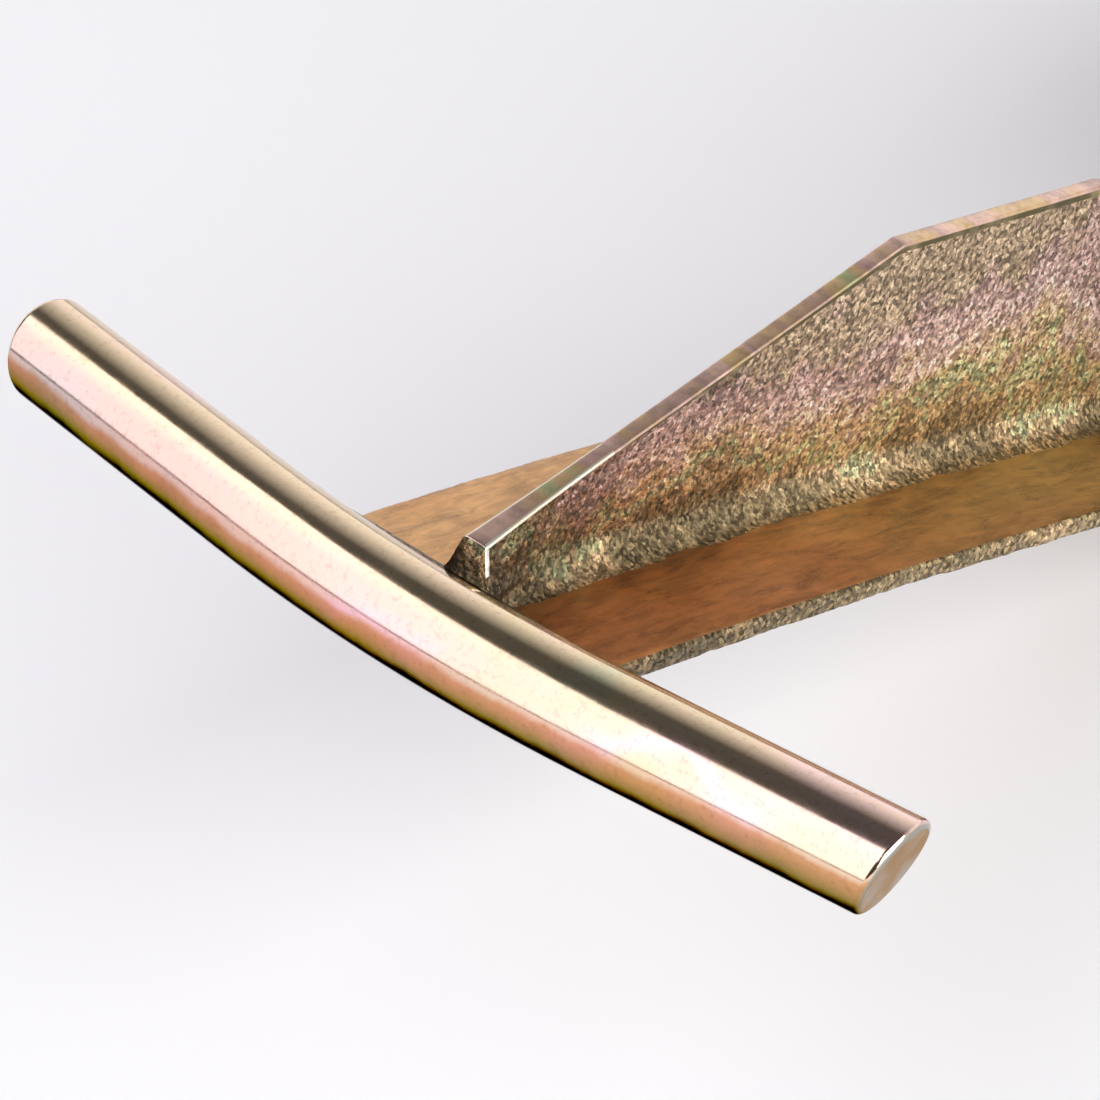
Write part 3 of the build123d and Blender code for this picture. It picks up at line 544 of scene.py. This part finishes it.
def relief(point, layers):
    """Height of a surface in millimetres at a point given in millimetres."""
    return sum(depth * noise.noise(point * fine) for fine, depth in layers)


def skin_height(point):
    """Height of the coarse forged skin, which is pitted and lies a little under the plain face."""
    fine, depth = SKIN_PITS
    pits = depth * noise.noise(point * fine + PITS_SHIFT)
    return relief(point, SKIN_LAYERS) + pits - SKIN_SUNK


def steps_along(start, end, gap):
    """Places along the arm from start, one gap apart, that stay short of end."""
    places = []
    y = start
    while y < end:
        places.append(y)
        y += gap
    return places


RIB_GAP = 0.30
RIB_END_GAP = 1.2
NOSE_FLARE = 0.45
NOSE_RUN = 24.0
NOSE_DRAFT = 2.2
NOSE_FOOT = 0.25
NOSE_ROWS = 2
WORN_END = 27.0
WORN_DRIFT = 3.0
LINE_STEPS = 2
SKIN_SLOT, EDGE_SLOT, WORN_SLOT, LINE_SLOT = range(4)


def nose_spread(y, z):
    """How much wider each side of the rib is near its nose: most above the root, none at the foot."""
    low, high = floor_line(y), rib_top(y)
    nose = max(0.0, 1.0 - (y - RIB_NOSE) / NOSE_RUN) ** 2
    up = min(1.0, max(0.0, (z - low) / (high - low)))
    return nose * (NOSE_FLARE + NOSE_DRAFT * (1.0 - up)) * min(1.0, up / NOSE_FOOT)


def rib_slot(row, inward, y):
    """Slot of a face from its row, its place in the half section, and its distance along the arm."""
    first_edge = 1 + ROOT_STEPS + SIDE_STEPS
    worn = y < WORN_END + WORN_DRIFT * noise.noise(Vector((y, 0.0, 0.0)))
    if inward >= first_edge + EDGE_STEPS:
        return EDGE_SLOT
    if inward >= first_edge:
        return WORN_SLOT if worn else EDGE_SLOT
    # The line of painted shade under the edge band, as a groove there would be shaded
    if inward >= first_edge - LINE_STEPS:
        return SKIN_SLOT if worn else LINE_SLOT
    return WORN_SLOT if row < NOSE_ROWS and inward > ROOT_STEPS else SKIN_SLOT


def make_rib(materials):
    """Rib with its root: coarse sides, a smooth edge band with a dark line of painted shade under it,
    and a worn nose.
    """
    stations = steps_along(RIB_NOSE, TAIL_END - RIB_END_GAP, RIB_GAP)
    verts = []
    for y in stations:
        half = rib_section(y)
        ring = half + [(-x, z, mask) for x, z, mask in reversed(half)]
        flat = [Vector((x, z)) for x, z, _ in ring]
        size = len(ring)
        for j, (x, z, mask) in enumerate(ring):
            before, after = flat[max(j - 1, 0)], flat[min(j + 1, size - 1)]
            out = Vector((after.y - before.y, before.x - after.x))
            if out.length > 0.0:
                out.normalize()
            spread = nose_spread(y, z)
            x += spread if j < size // 2 else -spread
            point = Vector((x, y, z))
            rise = skin_height(point) * mask if mask > 0.0 else relief(point, SMOOTH_LAYERS)
            verts.append(arm(x + out.x * rise, y, z + out.y * rise))
    rings = len(stations)
    faces = ring_faces(rings, size)
    for first in (0, (rings - 1) * size):
        for j in range(size // 2 - 1):
            quad = (first + j, first + j + 1, first + size - 2 - j, first + size - 1 - j)
            faces.append(quad if first else tuple(reversed(quad)))
    rib = add_piece("forged_rib", verts, faces, materials)
    for polygon in rib.data.polygons[:(rings - 1) * size]:
        row, place = divmod(polygon.index, size)
        polygon.material_index = rib_slot(row, min(place, size - 2 - place), stations[row])
    return rib


PLATE_START = 0.5
PLATE_GAP = 0.45
PLATE_CORNER = 0.45
TOP_STEPS = 48
CORNER_STEPS = 3
THICKNESS_STEPS = 8
UNDER_STEPS = 16

# How deep the skin is round the plate, as a share of the rib's skin
TOP_CORNER_SKIN = 0.66
EDGE_SKIN = 1.1
LOW_CORNER_SKIN = 0.88
UNDER_SKIN = 0.44

# The top face is not quite flat: waves per millimetre along and across it, and their height
SWELL_FINE = 0.09
SWELL_HIGH = 0.05


def plate_section(high):
    """Whole section of the plate under a top face at height high, from its left top corner round.

    Each entry is x, z, the way out of the surface, and how deep the skin is there."""
    low = high - ARM_THICKNESS
    inner = ARM_WIDTH / 2 - PLATE_CORNER
    top_inner, low_inner = high - PLATE_CORNER, low + PLATE_CORNER
    top = [(-inner + 2 * inner * i / TOP_STEPS, high, (0.0, 1.0), 0.0) for i in range(TOP_STEPS + 1)]
    side = []
    turns = [radians(90.0) * i / CORNER_STEPS for i in range(1, CORNER_STEPS + 1)]
    for turn in turns:
        x, z = inner + PLATE_CORNER * sin(turn), top_inner + PLATE_CORNER * cos(turn)
        side.append((x, z, (sin(turn), cos(turn)), TOP_CORNER_SKIN))
    for i in range(1, THICKNESS_STEPS):
        z = top_inner - (top_inner - low_inner) * i / THICKNESS_STEPS
        side.append((inner + PLATE_CORNER, z, (1.0, 0.0), EDGE_SKIN))
    for turn in turns:
        x, z = inner + PLATE_CORNER * cos(turn), low_inner - PLATE_CORNER * sin(turn)
        side.append((x, z, (cos(turn), -sin(turn)), LOW_CORNER_SKIN))
    under = []
    for i in range(1, UNDER_STEPS):
        under.append((inner - 2 * inner * i / UNDER_STEPS, low, (0.0, -1.0), UNDER_SKIN))
    mirrored = [(-x, z, (-nx, nz), deep) for x, z, (nx, nz), deep in reversed(side)]
    return top + side + under + mirrored


def make_plate(top_material, edge_material):
    """The arm's plate: a smooth top face between coarse edges, and a coarse underside."""
    stations = steps_along(PLATE_START, ARM_END, PLATE_GAP)
    verts = []
    for y in stations:
        section = plate_section(arm_top(y))
        for x, z, (nx, nz), deep in section:
            swell = SWELL_HIGH * noise.noise(Vector((x * SWELL_FINE, y * SWELL_FINE, z)))
            rise = skin_height(Vector((x, y, z))) * deep + swell
            verts.append(arm(x + nx * rise, y, z + nz * rise))
    size = len(section)
    faces = ring_faces(len(stations), size)
    faces.append(tuple(reversed(range(size))))
    faces.append(tuple(range((len(stations) - 1) * size, len(stations) * size)))
    plate = add_piece("arm_plate", verts, faces, [top_material, edge_material])
    for polygon in plate.data.polygons:
        place = polygon.index % size
        polygon.material_index = 1 if TOP_STEPS <= place < size - 1 else 0
    return plate


# The base, in millimetres: where it is parted from the arm, its skin, and the throat in it
BASE_BACK = MOUTH_Y - 67.0
BASE_VOXEL = 0.7
BASE_LAYERS = [(0.30, 0.10), (0.9, 0.05)]
SKIN_DEEP = 4.6
SOFTEN_ROUNDS = 2
THROAT_HALF = 23.6
THROAT_SEARCH = 20.5
THROAT_TOP = 0.8
THROAT_BACK = -13.5
THROAT_FRONT = 15.0

# Points closer than this many metres are one point
SAME_PLACE = 1e-7


def in_throat_wall(p):
    """Whether a point, in millimetres, has been smoothed in past a side wall of the throat."""
    along = THROAT_BACK < p.y - MOUTH_Y < THROAT_FRONT
    return p.z < BASE_TOP + THROAT_TOP and along and THROAT_SEARCH < abs(p.x) < THROAT_HALF


def make_base(material):
    """Base and cheeks, from the design's own forging with its edges softened as a die leaves them."""
    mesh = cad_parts["body_forging"].data.copy()
    mesh.name = "forged_base"
    cut_y = BASE_BACK * MM
    top = BASE_TOP * MM
    bm = bmesh.new()
    bm.from_mesh(mesh)
    bmesh.ops.remove_doubles(bm, verts=bm.verts, dist=SAME_PLACE)
    for point, normal in (((0, cut_y, 0), (0, 1, 0)), ((0, 0, top), (0, 0, 1))):
        geometry = list(bm.verts) + list(bm.edges) + list(bm.faces)
        bmesh.ops.bisect_plane(bm, geom=geometry, dist=SAME_PLACE, plane_co=point, plane_no=normal)
    gone = []
    for face in bm.faces:
        middle = face.calc_center_median()
        if middle.y < cut_y and middle.z > top + SAME_PLACE:
            gone.append(face)
    bmesh.ops.delete(bm, geom=gone, context="FACES")
    loose = [e for e in bm.edges if len(e.link_faces) == 1]
    bmesh.ops.holes_fill(bm, edges=loose, sides=0)
    bmesh.ops.recalc_face_normals(bm, faces=bm.faces)
    bm.to_mesh(mesh)
    bm.free()
    mesh.materials.clear()
    mesh.materials.append(material)
    base = bpy.data.objects.new("forged_base", mesh)
    bpy.context.scene.collection.objects.link(base)
    remesh = base.modifiers.new("skin", "REMESH")
    remesh.mode = "VOXEL"
    remesh.voxel_size = BASE_VOXEL * MM
    remesh.use_smooth_shade = True
    apply_modifiers(base)
    relax(base.data, SOFTEN_ROUNDS)
    normals = [vertex.normal.copy() for vertex in base.data.vertices]
    for vertex, normal in zip(base.data.vertices, normals):
        p = vertex.co / MM
        if in_throat_wall(p):
            vertex.co.x = THROAT_HALF * MM if p.x > 0.0 else -THROAT_HALF * MM
        elif p.z > BASE_TOP - SKIN_DEEP:
            vertex.co += normal * relief(p, BASE_LAYERS) * MM
    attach(base, "root")
    return base


def relax(mesh, rounds):
    """Soften a dense mesh by moving each point towards the middle of its neighbours."""
    bm = bmesh.new()
    bm.from_mesh(mesh)
    for _ in range(rounds):
        bmesh.ops.smooth_vert(
            bm, verts=bm.verts, factor=0.5, use_axis_x=True, use_axis_y=True, use_axis_z=True
        )
    bm.to_mesh(mesh)
    bm.free()


# ---------------------------------------------------------------- light and floor
# Levels of the surroundings, by the share of the half turn from ahead, over the top, to behind
WORLD_LEVELS = [(0.0, 1.25), (0.12, 1.0), (0.27, 0.45), (0.36, 0.10), (0.60, 0.08), (1.0, 0.05)]

# The two soft boxes and the floor, in metres and watts
KEY_DIRECTION = (-0.50, -0.66, 0.56)
KEY_DISTANCE = 1.6
KEY_SIZE = (2.6, 2.0)
KEY_POWER = 29.0
KEY_COLOUR = (1.0, 0.97, 1.06)
FILL_DIRECTION = (0.86, -0.12, 0.50)
FILL_DISTANCE = 1.7
FILL_SIZE = (2.0, 1.6)
FILL_POWER = 38.0
FILL_COLOUR = (1.0, 1.0, 1.0)
LIGHT_AIM = Vector((0.0, -0.05, 0.05))
FLOOR_REACH = 6.0


def make_stage():
    """Pale floor that the plane stands on."""
    floor_mesh = bpy.data.meshes.new("floor")
    corners = [(x * FLOOR_REACH, y * FLOOR_REACH, 0) for x, y in ((-1, -1), (1, -1), (1, 1), (-1, 1))]
    floor_mesh.from_pydata(corners, [], [(0, 1, 2, 3)])
    floor = bpy.data.objects.new("floor", floor_mesh)
    bpy.context.scene.collection.objects.link(floor)
    s = Surface("floor_paint", 0.0, 0.8)
    s.colour(s.ramp(s.noise(3.0, 2.0), [(0.3, 0.90), (0.7, 0.92)]))
    floor_mesh.materials.append(s.material)


def softbox(name, direction, distance, size, power, colour):
    """Rectangular soft light that faces the middle of the object from a direction."""
    data = bpy.data.lights.new(name, "AREA")
    data.shape = "RECTANGLE"
    data.size, data.size_y = size
    data.energy = power
    data.color = colour
    lamp = bpy.data.objects.new(name, data)
    lamp.location = LIGHT_AIM + Vector(direction).normalized() * distance
    lamp.rotation_euler = (LIGHT_AIM - lamp.location).to_track_quat("-Z", "Y").to_euler()
    bpy.context.scene.collection.objects.link(lamp)


def make_lights():
    """Studio: a bright wall ahead, a dark ceiling, and soft boxes behind the viewer and to the right."""
    world = bpy.data.worlds.new("studio")
    bpy.context.scene.world = world
    world.use_nodes = True
    nodes, links = world.node_tree.nodes, world.node_tree.links
    place = nodes.new("ShaderNodeTexCoord")
    split = nodes.new("ShaderNodeSeparateXYZ")
    lift = nodes.new("ShaderNodeMath")
    lift.operation = "ARCTAN2"
    share = nodes.new("ShaderNodeMath")
    share.operation = "DIVIDE"
    share.inputs[1].default_value = pi
    ramp = nodes.new("ShaderNodeValToRGB")
    links.new(place.outputs["Generated"], split.inputs["Vector"])
    links.new(split.outputs["Z"], lift.inputs[0])
    links.new(split.outputs["Y"], lift.inputs[1])
    links.new(lift.outputs["Value"], share.inputs[0])
    links.new(share.outputs["Value"], ramp.inputs["Fac"])
    links.new(ramp.outputs["Color"], nodes["Background"].inputs["Color"])
    set_stops(ramp.color_ramp.elements, WORLD_LEVELS)
    nodes["Background"].inputs["Strength"].default_value = 1.0
    softbox("key", KEY_DIRECTION, KEY_DISTANCE, KEY_SIZE, KEY_POWER, KEY_COLOUR)
    softbox("fill", FILL_DIRECTION, FILL_DISTANCE, FILL_SIZE, FILL_POWER, FILL_COLOUR)


# ---------------------------------------------------------------- the object
def dress(node, material):
    """Give a CAD node its finished material."""
    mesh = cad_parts[node].data
    mesh.materials.clear()
    mesh.materials.append(material)


def make_object():
    """Forged pieces in place of the CAD arm and base, and a finish on every other CAD node."""
    skin, plate_metal, bar = forged_skin(), smooth_plate(), bar_metal()
    rib_metals = [
        skin,
        drawn_edge(),
        worn_metal("worn_edge", WORN, 0.30, GOLD),
        # Painted shade: the dark line under the rib's edge band
        worn_metal("groove_shade_line", UMBER, 0.5, OLIVE),
    ]
    for piece in (make_rib(rib_metals), make_plate(plate_metal, skin), make_base(skin)):
        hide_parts("body_forging")
    dress("cross_bar", bar)
    dress("cross_bar_weld", skin)
    dress("sole_plate", ground_metal("ground_sole", (0.60, 0.60, 0.59), 0.28, 700.0))
    bed = ground_metal("machined_bed", (0.44, 0.44, 0.45), 0.34, 500.0)
    tool = ground_metal("lapped_steel", (0.66, 0.66, 0.68), 0.22, 900.0)
    bright = worn_metal("bright_zinc", (0.70, 0.70, 0.71), 0.25, (0.50, 0.50, 0.48))
    black = worn_metal("black_oxide", (0.05, 0.05, 0.055), 0.38, (0.09, 0.08, 0.07), 0.8)
    brass = worn_metal("satin_brass", (0.78, 0.56, 0.24), 0.26, (0.50, 0.34, 0.13))
    nickel = worn_metal("nickelled_iron", (0.52, 0.51, 0.49), 0.30, (0.36, 0.35, 0.33))
    blued = worn_metal("blued_spring", (0.16, 0.20, 0.30), 0.28, (0.12, 0.13, 0.18))
    finishes = {
        "bed_block": bed, "carriage": bed, "iron": tool, "chip_breaker": tool, "bed_screws": bright,
        "pivot_barrel": bright, "chip_breaker_screw": bright, "adjuster_spindle": bright,
        "cap_spring_screw": bright, "cap_lever_pin": bright, "knob_stud": bright, "sole_screws": black,
        "spindle_clip": black, "knob_set_screw": black, "adjuster_knob": brass, "lever_cap_screw": brass,
        "cap_lever": brass, "knob_ring": brass, "knob_nut": brass, "lever_cap": nickel,
        "cap_leaf_spring": blued, "front_knob": oiled_beech(),
    }
    for node, material in finishes.items():
        dress(node, material)


bpy.context.scene.view_settings.view_transform = "Standard"
make_camera()
make_lights()
make_stage()
make_object()
